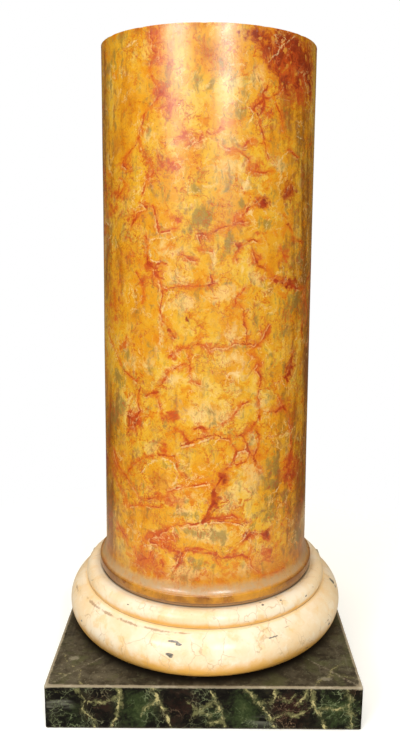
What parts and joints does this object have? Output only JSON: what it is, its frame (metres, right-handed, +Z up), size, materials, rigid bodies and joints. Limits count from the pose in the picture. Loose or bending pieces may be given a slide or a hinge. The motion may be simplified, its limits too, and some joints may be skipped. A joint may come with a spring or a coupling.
{
  "type": "painted tole pedestal",
  "caption": "Round column pedestal of painted sheet iron on two torus mouldings and a square plinth, flat on top for a bust, urn or plant.",
  "frame": {"origin": "middle of the plinth's underside, on the floor", "axes": "+Z up along the column's axis, +X and +Y square to the plinth's sides, -Y towards the front"},
  "size_m": [0.433, 0.433, 0.914],
  "materials": {
    "siena_marble_paint": "semi-gloss",
    "ivory_paint": "satin",
    "green_marble_paint": "satin"
  },
  "bodies": {
    "root": {"plinth": "green_marble_paint", "lower_torus": "ivory_paint", "upper_torus": "ivory_paint", "shaft": "siena_marble_paint", "top_disc": "siena_marble_paint"}
  },
  "joints": []
}
